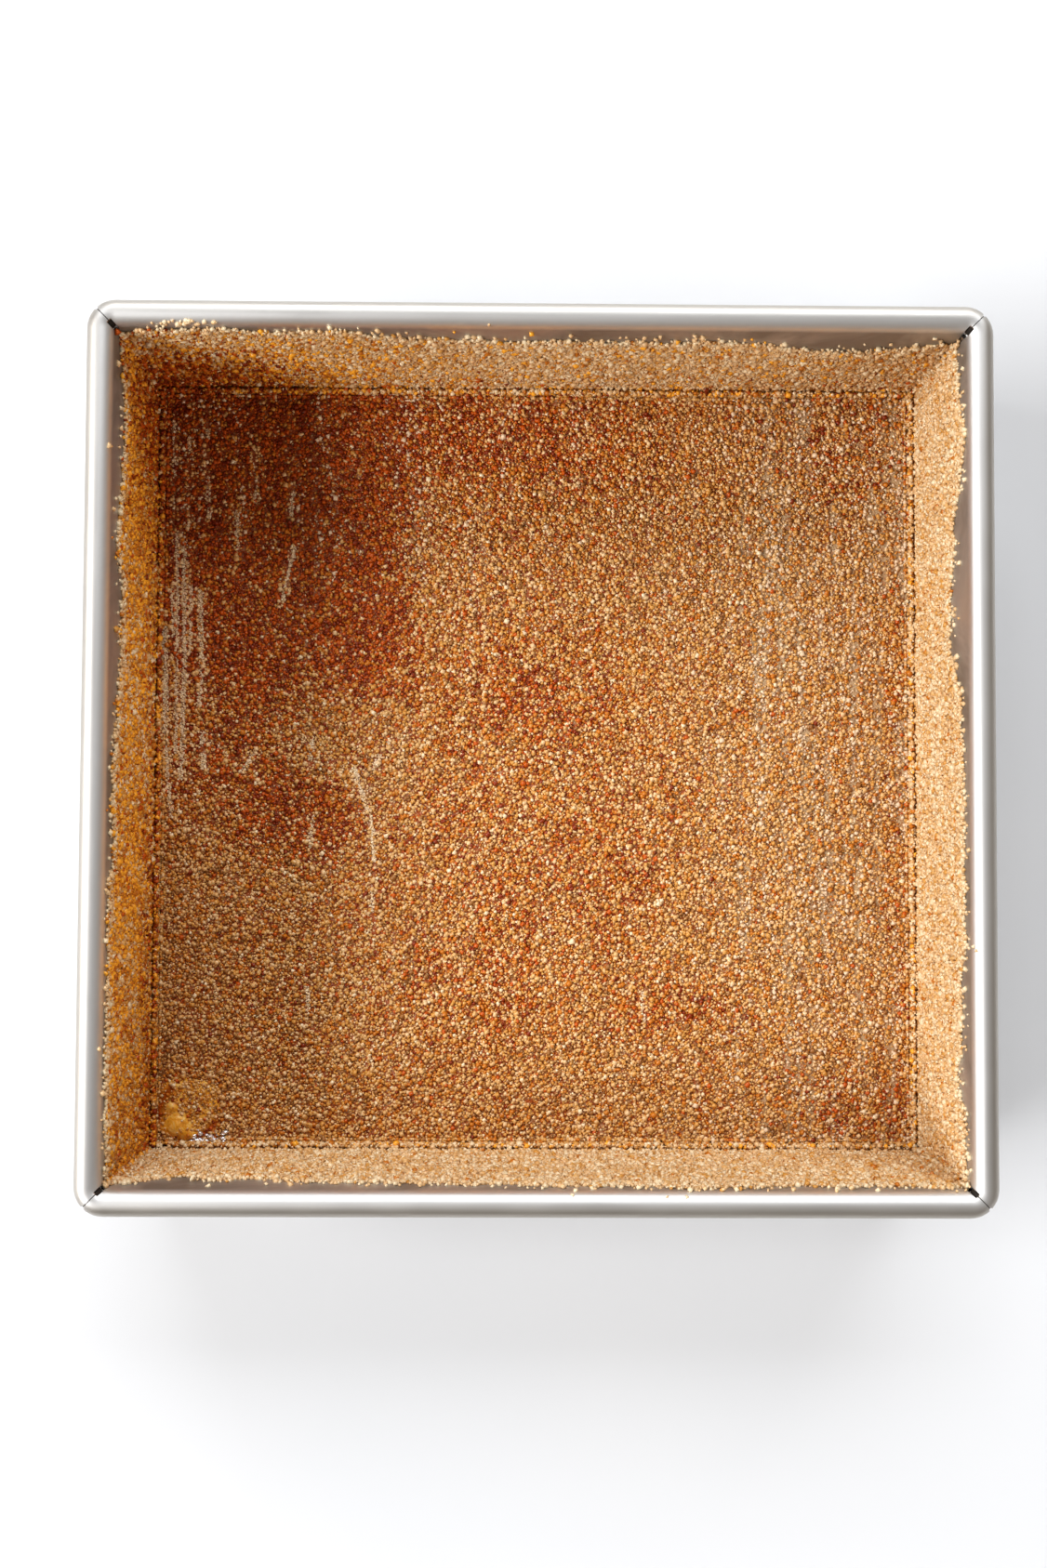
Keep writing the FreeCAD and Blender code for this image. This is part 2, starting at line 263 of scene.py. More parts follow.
def mesh_object(name, points, faces, materials, face_material=None, smooth=False):
    """An object from an array of points and a list of equal-length face arrays."""
    mesh = bpy.data.meshes.new(name)
    mesh.vertices.add(len(points))
    mesh.vertices.foreach_set("co", np.asarray(points, np.float32).ravel())
    counts = np.concatenate([np.full(len(f), f.shape[1]) for f in faces])
    corners = np.concatenate([f.ravel() for f in faces])
    mesh.loops.add(len(corners))
    mesh.loops.foreach_set("vertex_index", corners.astype(np.int32))
    mesh.polygons.add(len(counts))
    mesh.polygons.foreach_set("loop_start", (np.cumsum(counts) - counts).astype(np.int32))
    for m in materials:
        mesh.materials.append(m)
    if face_material is not None:
        mesh.polygons.foreach_set("material_index", np.concatenate(face_material).astype(np.int32))
    mesh.polygons.foreach_set("use_smooth", np.full(len(counts), smooth))
    mesh.update(calc_edges=True)
    mesh.validate()
    return add_object(name, mesh)


def set_shares(obj, name, shares):
    """Gives each point of an object a share from 0 to 1, which its material reads by that name."""
    obj.data.attributes.new(name, "FLOAT", "POINT").data.foreach_set("value", shares.astype(np.float32))
    return obj


class Surface:
    """A flat face that carries sugar. Its own axes are u along it, v across it and w away from it."""

    def __init__(self, name, origin, u, v, index=0):
        self.name, self.origin, self.index = name, np.array(origin, float), index
        self.u, self.v = np.array(u, float), np.array(v, float)
        self.w = np.cross(self.u, self.v)

    def place(self, u, v, w):
        """Points in the CAD model's frame."""
        return self.origin + np.outer(u, self.u) + np.outer(v, self.v) + np.outer(w, self.w)

    def along(self, u):
        """The place along the wall, in mm, towards +X or +Y."""
        return u * (self.u[0] + self.u[1]) / MM


FLOOR = Surface("base", (0, 0, PLATE_HIGH.z), (1, 0, 0), (0, 1, 0))
WALLS = {name: Surface(name, origin, along, (0, 0, 1), k) for k, (name, origin, along) in enumerate((
    ("back", (0, WALL, 0), (1, 0, 0)), ("left", (-WALL, 0, 0), (0, 1, 0)),
    ("front", (0, -WALL, 0), (-1, 0, 0)), ("right", (WALL, 0, 0), (0, -1, 0)),
))}


# ---- Materials ----
class Nodes:
    """Builds a node material around one Principled shader."""

    def __init__(self, name):
        self.material = bpy.data.materials.new(name)
        self.material.use_nodes = True
        self.tree = self.material.node_tree
        self.shader = self.tree.nodes["Principled BSDF"]

    def add(self, kind, **settings):
        """A new node, with values for its inputs or its own settings."""
        node = self.tree.nodes.new("ShaderNode" + kind)
        for key, value in settings.items():
            if key in node.inputs:
                node.inputs[key].default_value = value
            else:
                setattr(node, key, value)
        return node

    def link(self, a, b):
        self.tree.links.new(a, b)

    def coordinates(self, scale=(1, 1, 1)):
        """Object coordinates, stretched by scale along each axis."""
        where = self.add("TexCoord")
        stretch = self.add("Mapping", Scale=scale)
        self.link(where.outputs["Object"], stretch.inputs["Vector"])
        return stretch.outputs["Vector"]

    def outward_and_up(self):
        """The distance outwards from the pan's middle, square to its walls, and the height."""
        place = self.add("SeparateXYZ")
        self.link(self.coordinates(), place.inputs["Vector"])
        away = [self.maths("ABSOLUTE", place.outputs[axis], 0.0) for axis in ("X", "Y")]
        return self.maths("MAXIMUM", *away), place.outputs["Z"]

    def inner_face(self):
        """One on the walls' inner faces, up to where the rims curl away, and none elsewhere."""
        outward, up = self.outward_and_up()
        inside = self.ranged(outward, 1.0, 0.0, WALL + 0.05 * MM, WALL + 0.35 * MM)
        return self.maths("MULTIPLY", inside, self.ranged(up, 1.0, 0.0, CURL_Z, RIM_TOP - 1.2 * MM))

    def outer_curl(self):
        """One on the outer half of the rims, which is darkened there as painted shade, and none on the walls.
        """
        outward, _ = self.outward_and_up()
        return self.ranged(outward, 0.0, 1.0, WALL + 2.4 * MM, WALL + 4.6 * MM)

    def noise(self, scale=(1, 1, 1), size=100.0, detail=3.0, roughness=0.5, distortion=0.0):
        """A noise pattern from 0 to 1."""
        texture = self.add("TexNoise", Scale=size, Detail=detail, Roughness=roughness,
                           Distortion=distortion)
        self.link(self.coordinates(scale), texture.inputs["Vector"])
        return texture.outputs["Fac"]

    def ramp(self, value, stops):
        """A colour ramp: stops are (position, colour)."""
        node = self.add("ValToRGB")
        while len(node.color_ramp.elements) < len(stops):
            node.color_ramp.elements.new(0.5)
        for element, (position, colour) in zip(node.color_ramp.elements, stops):
            element.position = position
            element.color = (*colour, 1)
        self.link(value, node.inputs["Fac"])
        return node.outputs["Color"]

    def ranged(self, value, low, high, from_low=0.0, from_high=1.0):
        """The value moved from one range into another."""
        limits = {"From Min": from_low, "From Max": from_high, "To Min": low, "To Max": high}
        node = self.add("MapRange", **limits)
        self.link(value, node.inputs["Value"])
        return node.outputs["Result"]

    def maths(self, operation, a, b):
        """A maths node on two numbers or sockets."""
        node = self.add("Math", operation=operation)
        for socket, value in zip(node.inputs, (a, b)):
            if isinstance(value, (int, float)):
                socket.default_value = value
            else:
                self.link(value, socket)
        return node.outputs["Value"]

    def mixed(self, share, a, b):
        """Colour a where the share is 0, and b where it is 1."""
        node = self.add("Mix", data_type="RGBA")
        self.link(share, node.inputs["Factor"])
        for socket, colour in ((node.inputs[6], a), (node.inputs[7], b)):
            if isinstance(colour, tuple):
                socket.default_value = (*colour, 1)
            else:
                self.link(colour, socket)
        return node.outputs[2]

    def bump(self, height, strength, distance, below=None):
        """A bump, on top of the one below it."""
        node = self.add("Bump", Strength=strength, Distance=distance)
        self.link(height, node.inputs["Height"])
        if below is not None:
            self.link(below, node.inputs["Normal"])
        return node.outputs["Normal"]

    def finish(self, colour=None, roughness=None, normal=None, **constants):
        """Links what varies to the shader, and sets constants on its own sockets."""
        for key, socket in (("Base Color", colour), ("Roughness", roughness), ("Normal", normal)):
            if socket is not None:
                self.link(socket, self.shader.inputs[key])
        for key, value in constants.items():
            self.shader.inputs[key.replace("_", " ")].default_value = value
        return self.material


def sheet_metal(name, grain_scale, rough=(0.44, 0.56)):
    """Satin aluminium with fine rolling lines, dull butter brushed on the walls' inner faces, and painted
    shade on the rims' outer halves.
    """
    n = Nodes(name)
    tint, rim_outer_shade, butter = (0.80, 0.79, 0.78), (0.56, 0.53, 0.49), (0.27, 0.235, 0.20)
    lines = n.noise(grain_scale, size=900.0, detail=4.0, roughness=0.65)
    patches = n.noise(size=38.0, detail=4.0, roughness=0.55, distortion=0.6)
    specks = n.noise(size=520.0, detail=2.0)
    greased = n.maths("MULTIPLY", n.inner_face(), n.ranged(patches, 0.40, 1.0, 0.35, 0.60))
    dull = tuple(0.86 * c for c in tint)
    colour = n.mixed(n.ranged(patches, 0.0, 1.0, 0.35, 0.70), tint, dull)
    # Painted shade: the rims' outer halves darker and browner, for the dim reflection of the shaded table and
    # room there.
    colour = n.mixed(n.outer_curl(), colour, rim_outer_shade)
    colour = n.mixed(greased, colour, butter)
    roughness = n.maths("ADD", n.ranged(patches, *rough, 0.3, 0.7), n.ranged(lines, -0.04, 0.04))
    fine = n.bump(lines, 0.10, 0.00006)
    normal = n.bump(specks, 0.06, 0.00010, fine)
    n.link(n.ranged(greased, 1.0, 0.45), n.shader.inputs["Metallic"])
    return n.finish(colour, roughness, normal)


def weld_metal():
    """Weld bead: duller than the sheet, heat-stained here and there."""
    n = Nodes("weld_metal")
    stain = n.noise(size=160.0, detail=3.0)
    colour = n.ramp(stain, [(0.35, (0.62, 0.61, 0.59)), (0.65, (0.50, 0.46, 0.40))])
    grain = n.noise(size=1800.0, detail=2.0)
    return n.finish(colour, n.ranged(stain, 0.34, 0.52), n.bump(grain, 0.25, 0.00008), Metallic=1.0)


def seam_shade_paint():
    """Near-black for the seams' web and the beads' tops: painted shade, where the deep, narrow seams lie in
    shade.
    """
    n = Nodes("painted_seam_shade")
    stain = n.noise(size=600.0, detail=3.0)
    colour = n.ramp(stain, [(0.3, (0.020, 0.015, 0.012)), (0.7, (0.045, 0.034, 0.026))])
    return n.finish(colour, n.ranged(stain, 0.7, 0.9), n.bump(stain, 0.3, 0.00008))


def wire_metal():
    """Drawn steel wire inside the curls."""
    n = Nodes("wire_metal")
    lines = n.noise(size=700.0)
    colour = n.ramp(lines, [(0.3, (0.42, 0.42, 0.41)), (0.7, (0.30, 0.29, 0.28))])
    return n.finish(colour, n.ranged(lines, 0.35, 0.5), n.bump(lines, 0.15, 0.00005), Metallic=1.0)


def film_material(name, brown, greasy, stretch):
    """Butter and syrup under the crystals: dark where it is thick and in the base's patches of painted shade,
    greyish where the metal shows.
    """
    n = Nodes(name)
    thin = n.add("Attribute", attribute_name="thin").outputs["Fac"]
    strokes = n.noise(stretch, size=260.0, detail=4.0, roughness=0.65)
    grains = n.add("TexVoronoi", Scale=2300.0)
    n.link(n.coordinates(), grains.inputs["Vector"])
    shade = n.add("SeparateColor")
    n.link(grains.outputs["Color"], shade.inputs["Color"])
    share = n.maths("ADD", thin, n.ranged(strokes, -0.35, 0.35, 0.3, 0.7))
    share = n.maths("ADD", share, n.ranged(shade.outputs["Red"], -0.45, 0.45))
    colour = n.mixed(n.ranged(share, 0.0, 1.0, 0.05, 0.95), brown, greasy)
    roughness = n.ranged(shade.outputs["Green"], 0.25, 0.50)
    normal = n.bump(grains.outputs["Distance"], 0.8, -0.00022)
    return n.finish(colour, roughness, normal)


def butter_material():
    """Butter mixed with sugar: golden where thin, deep amber in its folds."""
    n = Nodes("butter_and_syrup")
    cloud = n.noise(size=520.0, detail=4.0, roughness=0.6, distortion=0.8)
    fine = n.noise(size=1500.0, detail=3.0)
    fold = n.add("Attribute", attribute_name="fold").outputs["Fac"]
    stops = [(0.34, (0.66, 0.27, 0.020)), (0.50, (0.84, 0.43, 0.050)), (0.68, (0.94, 0.66, 0.22))]
    gold = n.ramp(cloud, stops)
    colour = n.mixed(fold, gold, (0.42, 0.095, 0.006))
    return n.finish(colour, n.ranged(fine, 0.16, 0.34), n.bump(fine, 0.5, 0.00025))


def glaze_material():
    """Clear butter over bright metal, pale and very shiny."""
    n = Nodes("clear_butter")
    cloud = n.noise(size=700.0, detail=3.0)
    colour = n.ramp(cloud, [(0.35, (0.74, 0.73, 0.74)), (0.65, (0.92, 0.93, 0.97))])
    return n.finish(colour, n.ranged(cloud, 0.10, 0.24), n.bump(cloud, 0.4, 0.00025), Metallic=0.7)


def crystal_materials():
    """One plain material for each crystal colour."""
    made = []
    for name, colour, roughness, *_ in CRYSTALS:
        n = Nodes("crystal_" + name)
        n.finish(Base_Color=(*colour, 1), Roughness=roughness, IOR=1.54)
        made.append(n.material)
    return made


# ---- Crystals ----
def solid_shape(points, faces):
    """A crystal's corners, and its faces as one array for each number of corners."""
    return np.array(points, float), faces


BLOCK = solid_shape(
    [(x, y, z) for x in (-0.5, 0.5) for y in (-0.5, 0.5) for z in (-0.5, 0.5)],
    [np.array([(0, 1, 3, 2), (4, 6, 7, 5), (0, 4, 5, 1), (2, 3, 7, 6), (0, 2, 6, 4), (1, 5, 7, 3)])],
)
WEDGE = solid_shape(
    [(-0.55, -0.35, -0.5), (0.55, -0.35, -0.5), (0, 0.6, -0.4),
     (-0.5, -0.35, 0.5), (0.5, -0.35, 0.5), (0, 0.55, 0.45)],
    [np.array([(0, 2, 1), (3, 4, 5)]), np.array([(0, 1, 4, 3), (1, 2, 5, 4), (2, 0, 3, 5)])],
)
GEM = solid_shape(
    [(0.55, 0, 0), (-0.55, 0.1, 0), (0, 0.5, 0.05), (0.1, -0.5, 0), (0, 0, 0.62), (0.05, 0, -0.6)],
    [np.array([(0, 2, 4), (2, 1, 4), (1, 3, 4), (3, 0, 4), (2, 0, 5), (1, 2, 5), (3, 1, 5), (0, 3, 5)])],
)
SHAPES = ((BLOCK, 0.32), (WEDGE, 0.20), (GEM, 0.48))  # and how many of the crystals have each shape


def turns(rng, count):
    """Random rotation matrices."""
    q = rng.normal(size=(count, 4))
    q /= np.linalg.norm(q, axis=1)[:, None]
    w, x, y, z = q.T
    return np.stack([
        1 - 2 * (y * y + z * z), 2 * (x * y - z * w), 2 * (x * z + y * w),
        2 * (x * y + z * w), 1 - 2 * (x * x + z * z), 2 * (y * z - x * w),
        2 * (x * z - y * w), 2 * (y * z + x * w), 1 - 2 * (x * x + y * y),
    ], axis=1).reshape(-1, 3, 3)


def crystal_object(name, centres, sizes, colours, materials, seed):
    """One object of closed crystals. Each has its own size, turn, shape and colour."""
    rng = default_rng(seed)
    shares = np.array([share for _, share in SHAPES])
    kind = rng.choice(len(SHAPES), len(centres), p=shares)
    points, faces, face_colours, start = [], [], [], 0
    for k, ((corner, sides), _) in enumerate(SHAPES):
        chosen = np.flatnonzero(kind == k)
        if not len(chosen):
            continue
        count = len(chosen)
        stretch = rng.uniform(0.82, 1.18, (count, 1, 3)) * sizes[chosen][:, None, None]
        local = (corner[None] + rng.uniform(-0.09, 0.09, (count, len(corner), 3))) * stretch
        turned = np.einsum("nij,npj->npi", turns(rng, count), local)
        points.append((turned + centres[chosen][:, None]).reshape(-1, 3))
        first = start + np.arange(count) * len(corner)
        for side in sides:
            faces.append((first[:, None, None] + side[None]).reshape(-1, side.shape[1]))
            face_colours.append(np.repeat(colours[chosen], len(side)))
        start += count * len(corner)
    return mesh_object(name, np.concatenate(points), faces, materials, face_colours, smooth=True)


def pick_colours(rng, damp_and_shade, shares_at=ON_BASE):
    """A crystal colour for each place, by how damp it is there and how much shade is painted there, from 0 to
    1.
    """
    dry, wet = (np.array([crystal[k] for crystal in CRYSTALS]) for k in shares_at)
    wet = wet[None] * damp_and_shade[:, None]
    wet[:, DARKEST] *= damp_and_shade[:, None] ** 1.5
    shares = dry[None] * (1 - damp_and_shade[:, None]) + wet
    steps = np.cumsum(shares / shares.sum(axis=1)[:, None], axis=1)
    picked = (rng.random(len(damp_and_shade))[:, None] > steps).sum(axis=1)
    return np.minimum(picked, len(CRYSTALS) - 1)


def hex_places(low_u, high_u, low_v, high_v, rng, spacing):
    """Places in a loose hexagonal pattern over a rectangle."""
    row = spacing * math.sqrt(3) / 2
    rows, columns = int((high_v - low_v) / row) + 1, int((high_u - low_u) / spacing) + 1
    v, u = np.meshgrid(np.arange(rows) * row, np.arange(columns) * spacing, indexing="ij")
    u = u + (np.arange(rows) % 2)[:, None] * spacing / 2
    u, v = u.ravel() + low_u, v.ravel() + low_v
    u += rng.normal(0, GRAIN_JITTER * spacing, len(u))
    v += rng.normal(0, GRAIN_JITTER * spacing, len(v))
    inside = (u > low_u) & (u < high_u) & (v > low_v) & (v < high_v)
    return u[inside], v[inside]


def crystal_sizes(rng, count, spacing):
    """Sizes around the spacing, a little larger on average so that neighbours touch."""
    return np.clip(rng.lognormal(0, 0.18, count), 0.65, 1.4) * spacing * 1.07


def distance_to_path(x, y, path):
    """How far points are from a path of straight runs, which is in mm."""
    best = np.full(len(x), np.inf)
    corners = [(a * MM, b * MM) for a, b in path]
    for (ax, ay), (bx, by) in zip(corners, corners[1:]):
        dx, dy = bx - ax, by - ay
        t = np.clip(((x - ax) * dx + (y - ay) * dy) / (dx * dx + dy * dy), 0, 1)
        best = np.minimum(best, np.hypot(x - ax - t * dx, y - ay - t * dy))
    return best


def streak_share(x, y, path, width):
    """How much the brush streak shows at each place, from 0 to 1, with a ragged edge."""
    away = distance_to_path(x, y, path) / (width * MM / 2)
    return fade(0.65, 1.35, away + 0.8 * (layered_noise(x, y, 1.1 * MM, 45) - 0.5))


def band_share(x, y):
    """The thin bands between brush strokes, from 0 to 1: strongest towards the right and the back."""
    wander = (smooth_noise(x, y * 0.5, 40 * MM, 31) - 0.5) * 6 * MM
    wave = 0.5 + 0.5 * np.cos(2 * math.pi * (x + wander) / BAND_PITCH)
    patch = layered_noise(x, y * 0.3, 9 * MM, 32)
    strength = 0.30 + 0.70 * rise(30 * MM, 75 * MM, x) + 0.4 * rise(20 * MM, 80 * MM, y)
    return wave**3 * rise(0.35, 0.70, patch) * np.minimum(strength, 1.0)


def brush_lines(x, y):
    """Fine lines that the brush drew from front to back, from 0 to 1, with the same spread."""
    line = rise(0.62, 0.80, smooth_noise(x, y * 0.045, 1.5 * MM, 33))
    return line * np.maximum(rise(30 * MM, 80 * MM, x), 0.5 * rise(20 * MM, 80 * MM, y))


def damp_and_shade_share(x, y, seed, patches=()):
    """How damp the sugar is, from 0 to 1, raised in the given patches; on the base these are partly painted
    shade.
    """
    cloud = 0.26 * rise(0.35, 0.75, layered_noise(x, y, 30 * MM, seed)) - 0.08
    for px, py, reach_x, reach_y, strength in patches:
        away = np.hypot((x / MM - px) / reach_x, (y / MM - py) / reach_y)
        cloud = np.maximum(cloud, 0) + strength * fade(0.35, 1.15, away)
    return np.clip(cloud, 0, 1)


def base_places(rng):
    """Where the crystals on the base lie, and how high the heap along its edge lifts each of them."""
    x, y = hex_places(-FLOOR_REACH, FLOOR_REACH, -FLOOR_REACH, FLOOR_REACH, rng, GRAIN_BASE)
    heap = np.zeros(len(x))
    for inward, lift in BORDER_ROWS:
        border = np.arange(-FLOOR_REACH, FLOOR_REACH, BORDER_PITCH) + rng.uniform(-0.2, 0.2) * MM
        rim = FLOOR_REACH - inward * MM + rng.uniform(-0.15, 0.0, len(border)) * MM
        x, y = np.concatenate([x, border, border, rim, -rim]), np.concatenate([y, rim, -rim, border, border])
        heap = np.concatenate([heap, np.full(4 * len(border), lift * MM)])
    bare = np.maximum(0.45 * band_share(x, y), 0.35 * brush_lines(x, y))
    for path, width, full in STREAKS:
        bare = np.maximum(bare, (0.6 + 0.4 * full) * streak_share(x, y, path, width))
    kept = (rng.random(len(x)) > bare) & (from_smear(x, y) >= SMEAR_BARE)
    return x[kept], y[kept], heap[kept]


def base_sizes(rng, x, y):
    """The sizes of the base's crystals, and how high their middles lie."""
    size = crystal_sizes(rng, len(x), GRAIN_BASE)
    size[rng.random(len(x)) < LUMP_SHARE] *= LUMP_SCALE
    z = size * rng.uniform(0.15, 0.50, len(x))
    edge = np.maximum(abs(x), abs(y)) + size * 0.6 > PLATE_HIGH.x
    size[edge] = np.minimum(size[edge], EDGE_SIZE)
    z[edge] = EDGE_LIFT
    return size, z


def base_colours(rng, x, y):
    """Colours of the base's crystals: dark in the damp patches, which are partly painted shade, pale along
    the brush's streaks and lines.
    """
    colours = pick_colours(rng, damp_and_shade_share(x, y, 12, DAMP_AND_SHADE_PATCHES))
    brushed = np.zeros(len(x))
    for path, width, _ in STREAKS:
        brushed = np.maximum(brushed, 0.40 * streak_share(x, y, path, 2.6 * width))
    greyed = 0.12 * rise(25 * MM, 85 * MM, x) + 0.30 * brush_lines(x, y)
    colours[rng.random(len(x)) < greyed] = DUST
    pale = rng.random(len(x)) < brushed
    colours[pale] = rng.choice(PALE, pale.sum())
    return colours


def base_sugar(materials):
    """The crystals on the loose base, in nine fields, with a low heap along its edge."""
    rng = default_rng(101)
    x, y, heap = base_places(rng)
    size, z = base_sizes(rng, x, y)
    colours = base_colours(rng, x, y)
    centres = FLOOR.place(x, y, z + heap)
    third = 2 * FLOOR_REACH / 3
    column, row = (np.clip(((place + FLOOR_REACH) / third).astype(int), 0, 2) for place in (x, y))
    made = []
    for k, along in enumerate(("front", "middle", "back")):
        for m, across in enumerate(("left", "centre", "right")):
            here = (row == k) & (column == m)
            made.append(crystal_object(f"sugar_crystals_base_{along}_{across}", centres[here], size[here],
                                       colours[here], materials, 200 + len(made)))
    return made


def streak_dust(materials):
    """The fine pale grains in the brush streaks."""
    rng = default_rng(130)
    found = []
    for path, width, full in STREAKS:
        across, along = zip(*path)
        x, y = hex_places((min(across) - width) * MM, (max(across) + width) * MM, (min(along) - width) * MM,
                          (max(along) + width) * MM, rng, GRAIN_DUST)
        broken = rise(0.60 - 0.75 * full, 0.80 - 0.70 * full, smooth_noise(x, y * 0.45, 2.0 * MM, 47))
        kept = rng.random(len(x)) < streak_share(x, y, path, width) * broken
        inside = np.maximum(abs(x), abs(y)) < FLOOR_REACH
        found.append(np.stack([x, y])[:, kept & inside])
    x, y = np.concatenate(found, axis=1)
    size = crystal_sizes(rng, len(x), GRAIN_DUST) * 1.15
    z = 0.12 * MM + size * rng.uniform(0.2, 0.6, len(x))
    clear, pale = PALEST
    colours = np.where(rng.random(len(x)) < 0.45, DUST, rng.choice([clear, clear, pale], len(x)))
    return crystal_object("sugar_dust_in_streaks", FLOOR.place(x, y, z), size, colours, materials, 131)


def edge_height(wall, u):
    """The height of the coat's edge at places along a wall."""
    along = wall.along(u)
    places, heights = zip(*EDGES[wall.name])
    wobble = (layered_noise(along, along * 0, 5.0, 500 + 10 * wall.index) - 0.5) * 3.4
    return (np.interp(along, places, heights) + wobble) * MM


def curl_back(height):
    """How far a wall's inner face has curled away outwards at a height."""
    up = np.clip(height - CURL_Z, 0, RIM_RADIUS)
    return RIM_RADIUS - np.sqrt(RIM_RADIUS**2 - up**2)


def parted_foot(wall, u, v):
    """Where the front wall's sugar has parted from the base."""
    ragged = layered_noise(u, v, 2.2 * MM, 49)
    at_end = wall.along(u) < PARTED_TO - PARTED_RAGGED * ragged
    return (wall.name == "front") & at_end & (v < COAT_FOOT + PARTED_HEIGHT * ragged)


def wall_places(wall, rng):
    """Where a wall's crystals lie, how far above the coat's edge, and which are in the row over the gap."""
    u, v = hex_places(-WALL_REACH, WALL_REACH, COAT_FOOT + 0.4 * MM, CURL_Z + 1.2 * MM, rng, GRAIN_WALL)
    heap_u = np.arange(-ROW_REACH, ROW_REACH, HEAP_PITCH)
    heap_v = COAT_FOOT + FOOT_BAND + rng.uniform(*HEAP_HEIGHTS, len(heap_u)) * MM
    corner_v = np.arange(COAT_FOOT + FILLET_BAND, CURL_Z, CORNER_PITCH)
    corner_u = np.full(len(corner_v), WALL_REACH - 0.3 * MM)
    gap_u = np.arange(-ROW_REACH, ROW_REACH, GAP_PITCH)
    gap_v = COAT_FOOT + rng.uniform(*GAP_HEIGHTS, len(gap_u)) * MM
    u = np.concatenate([u, heap_u, corner_u, -corner_u, gap_u])
    v = np.concatenate([v, heap_v, corner_v, corner_v, gap_v])
    in_gap = np.arange(len(u)) >= len(u) - len(gap_u)
    above = v - edge_height(wall, u)
    share = np.where(above < 0, COVERED, STRAYS * np.exp(-np.maximum(above, 0) / STRAY_FADE))
    share = np.where(parted_foot(wall, u, v), PARTED_SHARE, share)
    kept = (rng.random(len(u)) < share) & (above < STRAY_REACH)
    return u[kept], v[kept], above[kept], in_gap[kept]


def wall_sizes(rng, u, v, in_gap):
    """The sizes of a wall's crystals, and how far off the wall their middles stand."""
    size = crystal_sizes(rng, len(u), GRAIN_WALL)
    low = v < COAT_FOOT + FOOT_BAND
    size[low] = np.minimum(size[low], FOOT_SIZE)
    w = size * rng.uniform(0.15, 0.45, len(u))
    w[low] = FOOT_LIFT
    size[in_gap] = np.minimum(size[in_gap], GAP_SIZE)
    w[in_gap] = rng.uniform(*GAP_LIFTS, in_gap.sum()) * MM
    fillet = ~low & (v < FILLET_BAND)
    w[fillet] += rng.uniform(*FILLET_LIFTS, fillet.sum()) * MM
    in_corner = abs(u) > WALL_REACH - 1.0 * MM
    w += np.where(in_corner, rng.uniform(*CORNER_LIFTS, len(u)), 0) * MM * (v > FILLET_BAND)
    return size, w - curl_back(v)


def wall_colours(wall, rng, u, v, above, centres):
    """Colours of a wall's crystals: pale at the coat's edge, darker near its foot, and dark low down near the
    back left corner, as painted shade.
    """
    along = u * (wall.u[0] + wall.u[1])
    from_corner = np.hypot(centres[:, 0] + WALL, centres[:, 1] - WALL)
    cloud = damp_and_shade_share(along, v, 60 + wall.index)
    damp_and_shade = WALL_DAMP_AND_PAINTED_LIGHT[wall.name] * (0.7 + cloud) + 0.25 * (v < FILLET_BAND)
    # Painted shade: low down near the back left corner the crystals take the damp, dark mix, where the walls'
    # shadows fall.
    damp_and_shade += 0.6 * fade(20 * MM, 85 * MM, from_corner) * (1 - 0.8 * rise(20 * MM, 46 * MM, v))
    colours = pick_colours(rng, np.clip(damp_and_shade, 0, 1), ON_WALL)
    dry = rng.random(len(u)) < 0.75 * rise(-5.0 * MM, 0.0, above)
    colours[dry] = rng.choice(PALEST, dry.sum())
    # Painted shade again: there the darkest mix replaces the colours; near the foot of the left and back
    # walls they turn darker too.
    shaded = fade(6 * MM, 55 * MM, from_corner) * (1 - 0.85 * rise(12 * MM, 42 * MM, v))
    foot = 0.5 * WALL_DAMP_AND_PAINTED_LIGHT[wall.name] * fade(3 * MM, 22 * MM, v)
    dark = rng.random(len(u)) < 0.95 * np.maximum(shaded, foot)
    colours[dark] = pick_colours(rng, np.ones(dark.sum()))
    return colours


def wall_sugar(wall, materials):
    """The crystals on one wall, thinning out above the coat's edge."""
    rng = default_rng(300 + wall.index)
    u, v, above, in_gap = wall_places(wall, rng)
    size, w = wall_sizes(rng, u, v, in_gap)
    centres = wall.place(u, v, w)
    colours = wall_colours(wall, rng, u, v, above, centres)
    return crystal_object(f"sugar_crystals_{wall.name}", centres, size, colours, materials, 400 + wall.index)


# ---- The film of butter and syrup under the crystals ----
def closed_sheet(name, surface, grid_u, grid_v, height, thin, material):
    """A closed sheet on a surface: a grid of points raised by height, with sides and a flat back.

    Thin, from 0 to 1, is how far the metal shows through at each point.
    """
    rows, columns = grid_u.shape
    raised = surface.place(grid_u.ravel(), grid_v.ravel(), height.ravel())
    flat = surface.place(grid_u.ravel(), grid_v.ravel(), np.zeros(grid_u.size))
    index = np.arange(rows * columns).reshape(rows, columns)
    top = grid_faces(index)
    back = top[:, ::-1] + grid_u.size
    rim = np.concatenate([index[0], index[1:, -1], index[-1, -2::-1], index[-2:0:-1, 0]])
    foot = rim + grid_u.size
    sides = np.stack([rim, foot, np.roll(foot, -1), np.roll(rim, -1)], axis=-1)
    sheet = mesh_object(name, np.concatenate([raised, flat]), [top, sides, back], [material])
    return set_shares(sheet, "thin", np.tile(thin.ravel(), 2))


